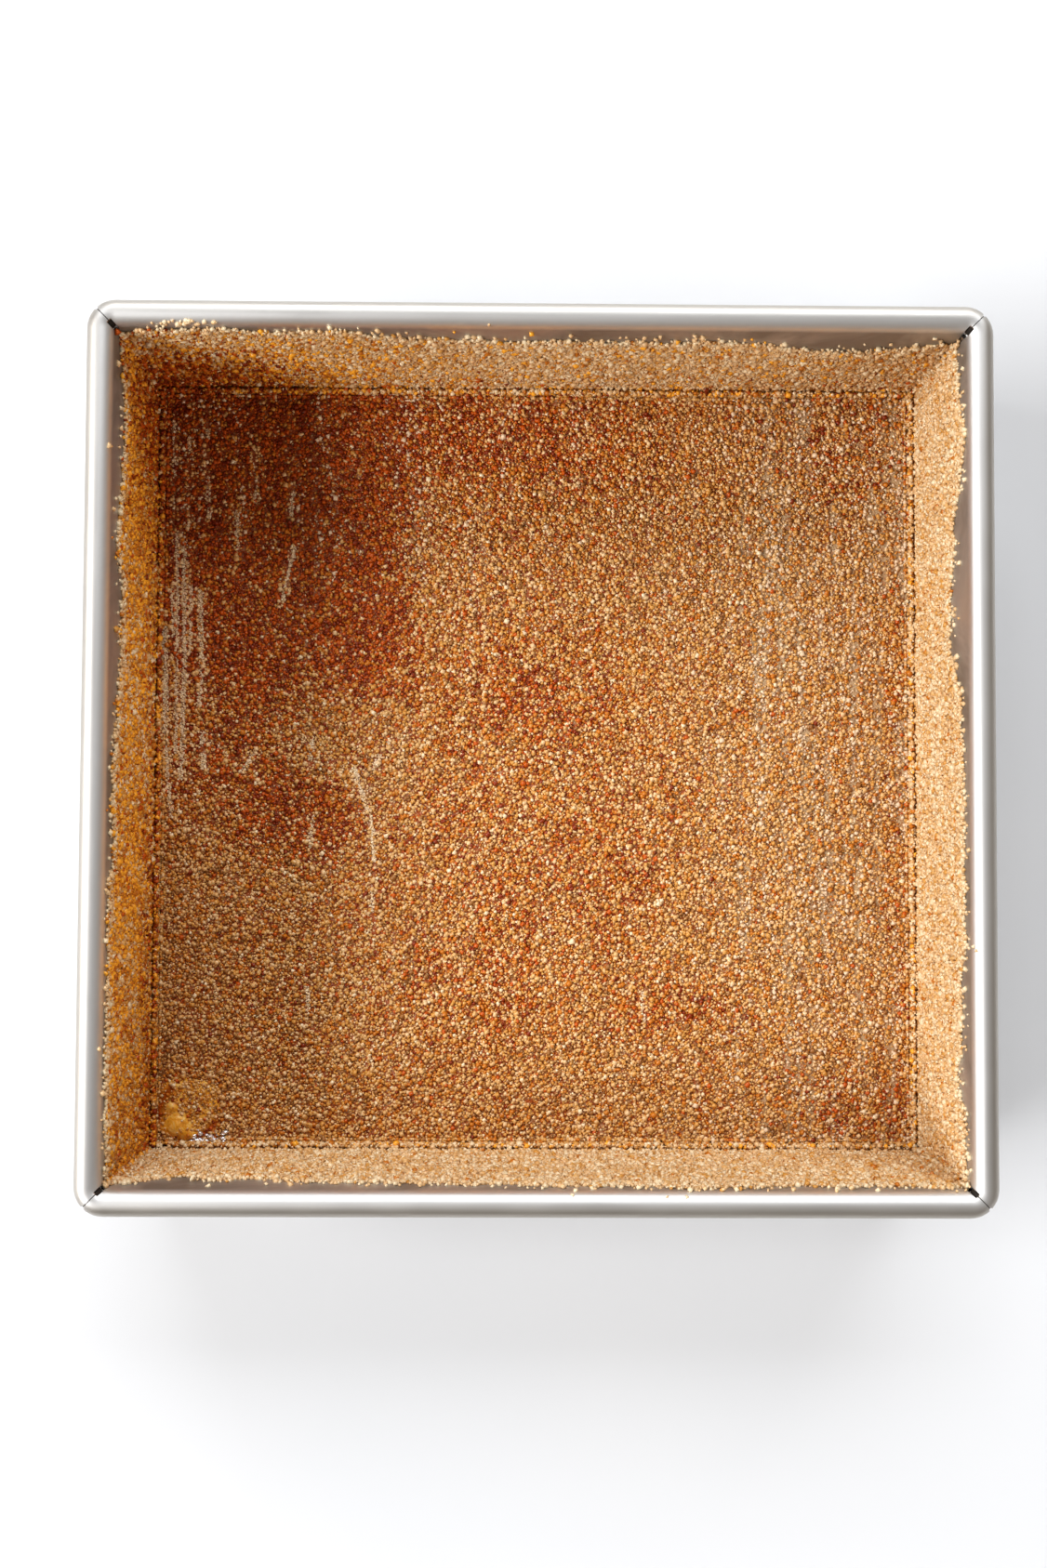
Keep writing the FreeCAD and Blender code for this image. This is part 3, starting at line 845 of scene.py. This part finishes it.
def base_film(material):
    """The film of butter and syrup on the base, thinner towards the right and between brush strokes."""
    reach = PLATE_HIGH.x - 0.05 * MM
    side = np.linspace(-reach, reach, int(2 * reach / FILM_STEP))
    u, v = np.meshgrid(side, side)
    lumps = layered_noise(u, v, 3.2 * MM, 71) * 0.12 * MM
    strokes = smooth_noise(u, v * 0.06, 2.1 * MM, 75) * 0.08 * MM
    clear = rise(0.85, 1.05, from_smear(u, v))
    brushed = np.maximum(band_share(u, v), brush_lines(u, v))
    thin = 0.40 * rise(15 * MM, 80 * MM, u) + 0.9 * brushed + 0.15
    # The film stays darker in those patches too: partly painted shade.
    thin = np.clip(thin - 0.6 * damp_and_shade_share(u, v, 12, DAMP_AND_SHADE_PATCHES), 0, 1)
    return closed_sheet("butter_film_base", FLOOR, u, v, FILM + clear * (lumps + strokes), thin, material)


def wall_film(wall, material):
    """The film on one wall, up to the coat's edge and thicker at its foot."""
    reach = WALL - 0.6 * MM
    along = np.linspace(-reach, reach, int(2 * reach / FILM_STEP))
    up = np.linspace(0, 1, 48)
    u, share = np.meshgrid(along, up)
    foot = COAT_FOOT + 0.1 * MM
    top = np.minimum(edge_height(wall, u) - 0.4 * MM, CURL_Z)
    v = foot + (top - foot) * share
    lumps = layered_noise(u, v, 2.6 * MM, 80 + wall.index) * 0.18 * MM
    lumps = lumps + FOOT_FILM * fade(COAT_FOOT + 1.0 * MM, COAT_FOOT + 2.6 * MM, v)
    thin = 0.2 + 0.8 * rise(0.90, 1.0, share)
    return closed_sheet(f"butter_film_{wall.name}", wall, u, v, FILM + lumps, thin, material)


# ---- The smear of butter and sugar in the corner ----
def rounded_square(across, along):
    """How far points are from the middle of a rounded square: 1 on its outline."""
    return (abs(across)**SQUARENESS + abs(along)**SQUARENESS) ** (1 / SQUARENESS)


def from_smear(x, y):
    """How far points are from the smear's middle: 1 on its outline."""
    return rounded_square((x - SMEAR_MIDDLE.x) / SMEAR_HALF.x, (y - SMEAR_MIDDLE.y) / SMEAR_HALF.y)


def fold_share(x, y, spread=1.0):
    """One along the middle of the smear's folds, fading out over their half width times the spread."""
    away = []
    for path, width in SMEAR_FOLDS:
        away.append(distance_to_path(x.ravel(), y.ravel(), path).reshape(x.shape) / (width * MM / 2))
    return np.exp(-(np.min(away, axis=0) / spread) ** 2)


def smear_height(x, y):
    """The smear's height over the base: lumps of butter, with folds pressed in between them."""
    height = 0.50 * MM + 0 * x
    for lump_x, lump_y, reach, lump in SMEAR_LUMPS:
        away = np.hypot(x / MM - lump_x, y / MM - lump_y) / reach
        height = np.maximum(height, lump * MM * np.exp(-away ** 2) + 0.40 * MM)
    height = height * (1 - 0.65 * fold_share(x, y))
    height = height + (layered_noise(x, y, 1.7 * MM, 91) - 0.5) * 0.35 * MM
    return np.clip(height, 0.20 * MM, None) * (1 - 0.85 * rise(0.72, 1.02, from_smear(x, y)))


def butter_smear(material):
    """The smear, a closed rounded patch, in place of the CAD dome."""
    rings, sectors = 46, 120
    share = np.linspace(1, 0.02, rings)[:, None]
    angle = full_turn(sectors)
    uneven = 0.95 + 0.03 * np.sin(3 * angle + 0.8) + 0.02 * np.sin(7 * angle + 2.1)
    outline = uneven / rounded_square(np.cos(angle), np.sin(angle))
    x = SMEAR_MIDDLE.x + SMEAR_HALF.x * share * outline * np.cos(angle)
    y = SMEAR_MIDDLE.y + SMEAR_HALF.y * share * outline * np.sin(angle)
    count = rings * sectors
    raised = FLOOR.place(x.ravel(), y.ravel(), smear_height(x, y).ravel())
    flat = FLOOR.place(x[0], y[0], np.zeros(sectors))
    index = np.arange(count).reshape(rings, sectors)
    foot = count + np.arange(sectors)
    tip, under = count + sectors, count + sectors + 1
    points = np.concatenate([raised, flat, raised[index[-1]].mean(axis=0)[None], flat.mean(axis=0)[None]])
    faces = [grid_faces(index, closed=True), grid_faces(np.stack([foot, index[0]]), closed=True),
             cap_faces(index[-1], tip), cap_faces(foot, under, under=True)]
    smear = mesh_object("butter_smear", points, faces, [material], smooth=True)
    return set_shares(smear, "fold", np.append(fold_share(x, y, 1.3), np.zeros(sectors + 2)))


def smear_glaze(material):
    """Small shiny beads of clear butter along the smear's front, closed lens shapes."""
    rng = default_rng(640)
    rings, sectors = 4, 12
    share = np.linspace(1, 0.2, rings)[:, None]
    angle = full_turn(sectors)
    points, faces = [], []
    for k in range(GLAZE_BEADS):
        middle_x = (GLAZE_FROM[0] + (GLAZE_TO[0] - GLAZE_FROM[0]) * rng.random()) * MM
        middle_y = (GLAZE_FROM[1] + (GLAZE_TO[1] - GLAZE_FROM[1]) * rng.random() ** 1.5) * MM
        reach, height = rng.uniform(0.4, 1.1) * MM, rng.uniform(0.5, 0.9) * MM
        lean = rng.uniform(0, math.pi)
        wide = reach * share * (1 + 0.2 * np.sin(2 * angle + k))
        u = middle_x + wide * np.cos(angle + lean)
        v = middle_y + 0.6 * wide * np.sin(angle + lean)
        w = 0.35 * MM + height * np.sqrt(1 - 0.98 * share**2) + 0 * angle
        start = k * (rings * sectors + 2)
        index = start + np.arange(rings * sectors).reshape(rings, sectors)
        tip, under = start + rings * sectors, start + rings * sectors + 1
        faces += [grid_faces(index, closed=True), cap_faces(index[-1], tip)]
        faces.append(cap_faces(index[0], under, under=True))
        cap_heights = np.array([w.max() + 0.02 * MM, 0.1 * MM])
        points.append(FLOOR.place(u.ravel(), v.ravel(), w.ravel()))
        points.append(FLOOR.place(np.full(2, middle_x), np.full(2, middle_y), cap_heights))
    return mesh_object("butter_glaze", np.concatenate(points), faces, [material], smooth=True)


def smear_crystals(materials):
    """Crystals stuck on the smear, few on its lumps and many towards its edge."""
    rng = default_rng(610)
    low, high = SMEAR_MIDDLE - SMEAR_HALF, SMEAR_MIDDLE + SMEAR_HALF
    x, y = hex_places(low.x, high.x, low.y, high.y, rng, 0.66 * MM)
    height = smear_height(x, y)
    bare = np.maximum(rise(0.58 * MM, 0.95 * MM, height), 0.75 * fold_share(x, y))
    kept = (rng.random(len(x)) < 0.92 - 0.82 * bare) & (from_smear(x, y) < 1.0)
    x, y, height = x[kept], y[kept], height[kept]
    size = crystal_sizes(rng, len(x), GRAIN_BASE) * 0.85
    colours = pick_colours(rng, np.clip(0.35 + 0.6 * fold_share(x, y), 0, 1))
    return crystal_object("sugar_crystals_smear", FLOOR.place(x, y, height), size, colours, materials, 611)


def rim_crumbs(materials):
    """Single crystals that fell on the rims, half stuck in the film of butter there."""
    rng = default_rng(620)
    crumbs = list(RIM_CRUMBS)
    for _ in range(CRUMB_HEAP_COUNT):
        crumbs.append(("back", CRUMB_HEAP_AT + rng.normal(0, 3.4), rng.uniform(0.2, 0.9), 0.8))
    places, sizes = [], []
    for side, along, out, size in crumbs:
        wall = WALLS[side]
        u = along * MM * (wall.u[0] + wall.u[1])
        curl = CURL_Z + math.sqrt(RIM_RADIUS**2 - (RIM_RADIUS - out * MM) ** 2)
        height = min(curl + 0.2 * size * MM, RIM_TOP - 1.1 * size * MM)
        places.append(wall.place([u], [height], [-out * MM])[0])
        sizes.append(size * MM)
    colours = rng.choice(PALEST, len(sizes))
    return crystal_object("sugar_crumbs_rim", np.array(places), np.array(sizes), colours, materials, 621)


# ---- Welds ----
def bead_skin(low, high, centre, outward, rng):
    """Points on a bead's rippled skin, as rows going up. Outward is the angle at which its corner points."""
    rows, sectors, ripple, radius = 260, 18, 1.15 * MM, 0.78 * MM
    z = np.linspace(low.z, high.z, rows)[:, None]
    angle = full_turn(sectors)
    facing = np.clip(np.cos(angle), 0, 1)
    scallop = np.abs(np.sin(math.pi * (z - 0.35 * MM * facing) / ripple)) ** 0.6
    uneven = 1 + 0.07 * (rng.random((rows, 1)) - 0.5)
    end = np.sqrt(np.clip(np.minimum(z - low.z, high.z - z) / (0.8 * MM), 0.05, 1))
    reach = radius * end * uneven * (1 + 0.13 * facing * scallop)
    x = centre[0] + reach * np.cos(angle + outward)
    y = centre[1] + reach * np.sin(angle + outward)
    return np.stack([x, y, np.broadcast_to(z, x.shape)], axis=-1)


def weld_bead(corner, bead, shade_paint):
    """A rippled bead along the outside of a corner, its top painted near-black as shade, and the dark web in
    its seam, painted as shade.
    """
    low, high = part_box(f"corner_weld_{corner}")
    rng = default_rng(700 + len(corner))
    side = np.array([math.copysign(1, low.x + high.x), math.copysign(1, low.y + high.y)])
    centre = CORNER_AXIS * side + CORNER_OUTSIDE * math.sqrt(0.5) * side
    skin = bead_skin(low, high, centre, math.atan2(side[1], side[0]), rng)
    rows, sectors = skin.shape[:2]
    count = rows * sectors
    index = np.arange(count).reshape(rows, sectors)
    ends = np.array([(*centre, low.z), (*centre, high.z)])
    web_points, web_faces = seam_web(side)
    faces = [grid_faces(index, closed=True), cap_faces(index[0], count, under=True),
             cap_faces(index[-1], count + 1), web_faces + count + 2]
    painted_shade_top = np.repeat(skin[:-1, 0, 2] > high.z - 0.6 * MM, sectors).astype(int)
    kinds = [painted_shade_top, np.zeros(sectors, int), np.ones(sectors, int), np.ones(len(web_faces), int)]
    points = np.concatenate([skin.reshape(-1, 3), ends, web_points])
    return mesh_object(f"weld_bead_{corner}", points, faces, [bead, shade_paint], kinds, smooth=True)


def seam_web(side):
    """A thin closed web in the mitre, following the curl, wide in its nick and in the seam's mouth."""
    steps = 44
    angle = np.radians(np.linspace(*WEB_ANGLES, steps))
    from_axis = CORNER_INSIDE + RIM_RADIUS * (1 + np.cos(angle))
    nick = rise(NICK_FROM, CORNER_INSIDE + 2 * RIM_RADIUS, from_axis)
    mouth = rise(*MOUTH_ANGLES, np.degrees(angle))
    half = (0.09 + 0.30 * nick + 0.62 * mouth)[:, None] * MM
    across = np.array([-side[1], side[0]]) * math.sqrt(0.5) * half
    points = []
    for sign in (-1, 1):
        for depth in WEB_DEPTHS:
            radius = RIM_RADIUS - depth
            out = (CORNER_INSIDE + RIM_RADIUS + radius * np.cos(angle))[:, None]
            flat = CORNER_AXIS * side + out * side * math.sqrt(0.5) + sign * across
            points.append(np.column_stack([flat, CURL_Z + radius * np.sin(angle)]))
    a, b, c, d = (np.arange(steps) + k * steps for k in range(4))
    faces = [grid_faces(np.stack(pair)) for pair in ((a, b), (b, d), (d, c), (c, a))]
    faces += [np.array([(a[0], b[0], d[0], c[0])]), np.array([(a[-1], c[-1], d[-1], b[-1])])]
    return np.concatenate(points), np.concatenate(faces)


# ---- Scene ----
def dress(node, material):
    """Puts a material on a CAD node."""
    obj = NODES[node]
    if not obj.material_slots:
        obj.data.materials.append(material)
    for slot in obj.material_slots:
        slot.link = "OBJECT"
        slot.material = material


def settle(obj, body, slot, *replaced):
    """Rides a piece on its body and hides the CAD parts that it replaces. The slot it is given is not used.
    """
    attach(obj, body)
    if replaced:
        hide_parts(*replaced)
    return obj


def metal_parts():
    """The pan itself: CAD nodes with their metals, and the rippled weld beads."""
    along_x = sheet_metal("satin_aluminium_along_x", (0.03, 1, 1))
    along_y = sheet_metal("satin_aluminium_along_y", (1, 0.03, 1))
    base = sheet_metal("satin_aluminium_base", (0.05, 1, 1), rough=(0.45, 0.56))
    wire = wire_metal()
    weld, shade_paint = weld_metal(), seam_shade_paint()
    for side in WALLS:
        dress(f"side_panel_{side}", along_x if side in ("back", "front") else along_y)
        dress(f"rim_wire_{side}", wire)
    dress("loose_base", base)
    for corner in ("back_left", "front_left", "front_right", "back_right"):
        settle(weld_bead(corner, weld, shade_paint), "sides", "weld_bead", f"corner_weld_{corner}")


def sugar_and_butter():
    """The lining: films of butter, crystals, dust, the smear, and crumbs on the rims."""
    crystals = crystal_materials()
    film = film_material("butter_film_on_base", (0.36, 0.075, 0.006), (0.50, 0.35, 0.20), (1, 0.12, 1))
    for obj in (base_film(film), *base_sugar(crystals)):
        settle(obj, "base", "brown_sugar", "sugar_coat_base")
    for wall in WALLS.values():
        film = film_material(f"butter_film_on_{wall.name}", (0.46, 0.18, 0.03), (0.52, 0.33, 0.16), (1, 1, 1))
        for obj in (wall_film(wall, film), wall_sugar(wall, crystals)):
            settle(obj, "sides", "brown_sugar", f"sugar_coat_{wall.name}")
    settle(streak_dust(crystals), "base", "brown_sugar", "sugar_coat_base")
    for obj in (butter_smear(butter_material()), smear_glaze(glaze_material()), smear_crystals(crystals)):
        settle(obj, "base", "butter_and_sugar", "butter_clump")
    settle(rim_crumbs(crystals), "sides", "brown_sugar")


def area_light(name, at, size, power, colour=(1, 1, 1)):
    """A rectangular lamp that faces the pan."""
    data = bpy.data.lights.new(name, "AREA")
    data.shape = "RECTANGLE"
    data.size, data.size_y = size
    data.energy = power
    data.color = colour
    light = add_object(name, data)
    light.location = at
    light.rotation_mode = "QUATERNION"
    light.rotation_quaternion = (Vector(LIGHTS_AIM) - Vector(at)).to_track_quat("-Z", "Y")
    return light


def room():
    """A dim room, slightly brighter overhead."""
    world = bpy.data.worlds.new("room")
    world.use_nodes = True
    tree = world.node_tree
    kinds = ("TexCoord", "SeparateXYZ", "ValToRGB")
    where, split, shade = (tree.nodes.new("ShaderNode" + kind) for kind in kinds)
    for element, position, colour in zip(shade.color_ramp.elements, (0.0, 1.0), (ROOM_WALLS, ROOM_CEILING)):
        element.position = position
        element.color = (*colour, 1)
    tree.links.new(where.outputs["Generated"], split.inputs["Vector"])
    tree.links.new(split.outputs["Z"], shade.inputs["Fac"])
    tree.links.new(shade.outputs["Color"], tree.nodes["Background"].inputs["Color"])
    bpy.context.scene.world = world


def studio():
    """A plain pale table, the room, two soft windows and a fill light."""
    table = Nodes("pale_table")
    cloud = table.noise(size=6.0, detail=4.0)
    table.finish(table.ramp(cloud, [(0.3, (0.71, 0.72, 0.74)), (0.7, (0.74, 0.745, 0.76))]), Roughness=0.5)
    corners = [(x * TABLE_HALF, y * TABLE_HALF, TABLE_Z) for x, y in ((-1, -1), (1, -1), (1, 1), (-1, 1))]
    floor = mesh_object("table", corners, [np.array([(0, 1, 2, 3)])], [table.material])
    room()
    area_light("window_left", (-1.73, -0.27, 1.40), (1.6, 0.75), KEY_POWER)
    area_light("window_back", (0.16, 1.92, 1.44), (2.4, 1.2), BACK_POWER, colour=(0.94, 0.97, 1.0))
    fill = area_light("fill", (1.15, -1.15, 0.75), (1.5, 0.9), FILL_POWER)
    fill.visible_glossy = False  # so that the rims don't mirror it


def camera():
    """The camera at the photo's angle."""
    data = bpy.data.cameras.new("camera")
    data.sensor_width = 36
    data.lens = CAMERA_LENS
    data.clip_start, data.clip_end = 0.01, 20
    cam = add_object("camera", data)
    turn = Vector([math.radians(a) for a in CAMERA_TILT])
    cam.matrix_world = Matrix.Translation(CAMERA_AT) @ Matrix.Rotation(turn.length, 4, turn.normalized())
    bpy.context.scene.camera = cam


metal_parts()
sugar_and_butter()
studio()
camera()
bpy.context.scene.view_settings.view_transform = "Standard"
bpy.context.scene.view_settings.look = "Medium High Contrast"
